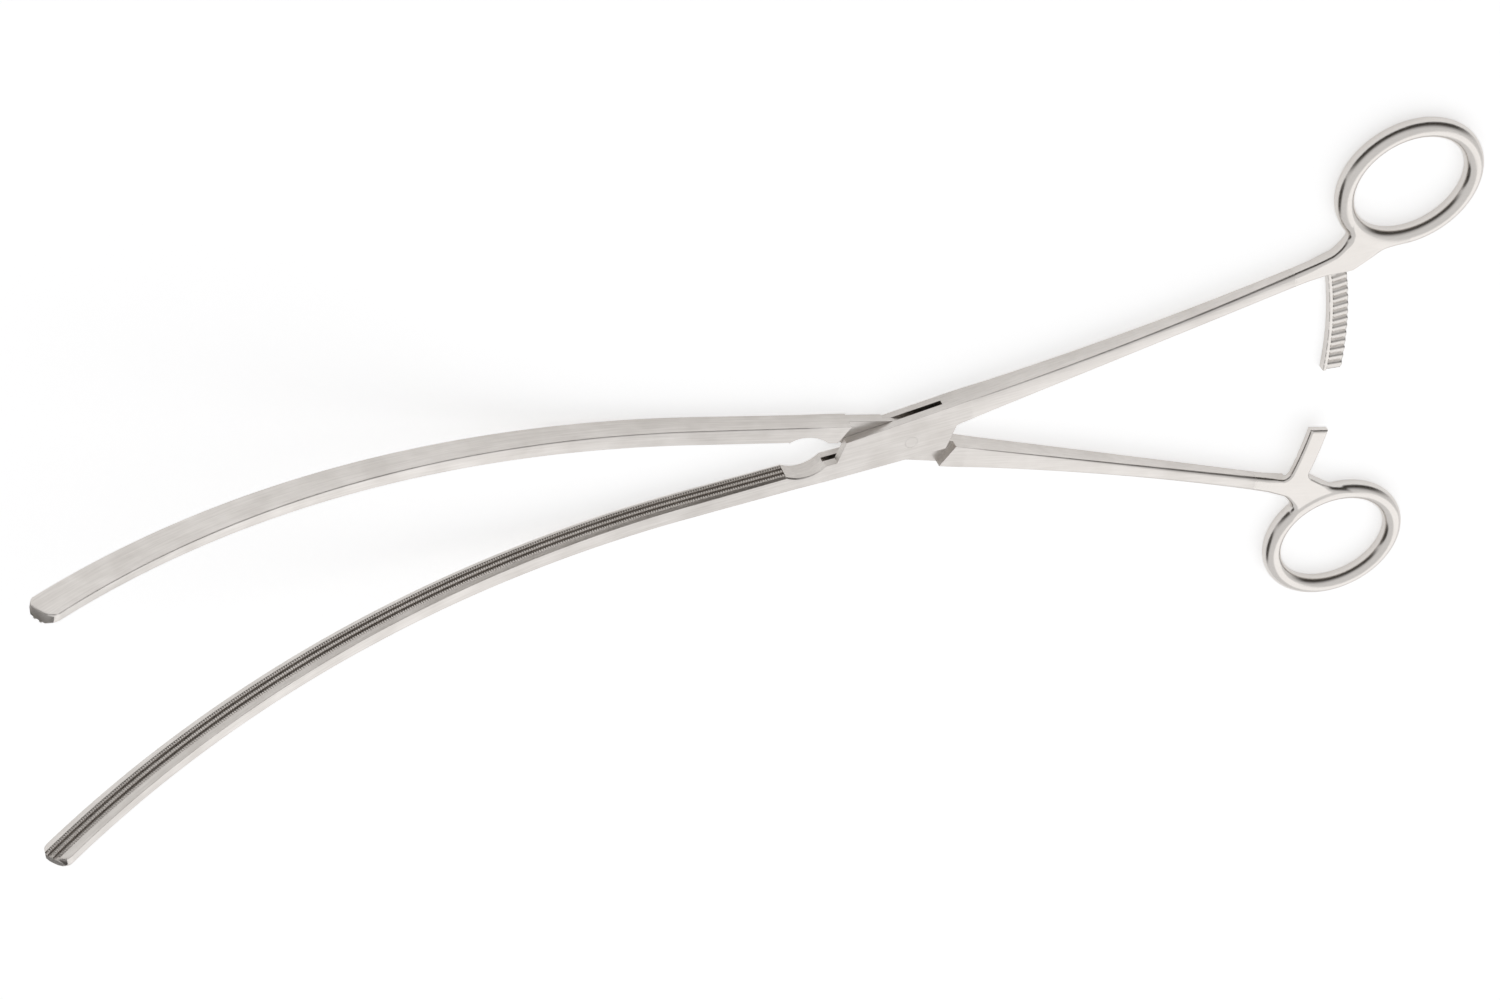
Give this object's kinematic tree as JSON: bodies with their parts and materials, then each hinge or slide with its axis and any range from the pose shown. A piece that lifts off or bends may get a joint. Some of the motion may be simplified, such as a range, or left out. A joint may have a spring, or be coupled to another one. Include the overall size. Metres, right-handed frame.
{
  "type": "surgical forceps",
  "caption": "Long curved ring-handled forceps with a box lock, grooved gripping jaws and a ratchet between the finger rings.",
  "frame": {"origin": "on the pivot axis, at the underside of the box lock", "axes": "+X from the pivot to the jaws' tips, along the middle of the opening; +Y to the side that the female half's jaw opens to; +Z along the pivot, to the concave side of the curved jaws"},
  "size_m": [0.3244, 0.132, 0.0558],
  "materials": {
    "half_steel": "satin ground jaws, shanks and box lock, more polished at the finger rings",
    "pin_steel": "ground flush with the box lock's faces"
  },
  "bodies": {
    "female": {"female_half": "half_steel", "pivot_pin": "pin_steel"},
    "male": {"male_half": "half_steel"}
  },
  "joints": [
    {"name": "pivot", "type": "hinge", "parent": "female", "child": "male", "pos_m": [0, 0, 0.0024], "axis": [0, 0, -1], "range_deg": [-17.9, 24.1]}
  ]
}
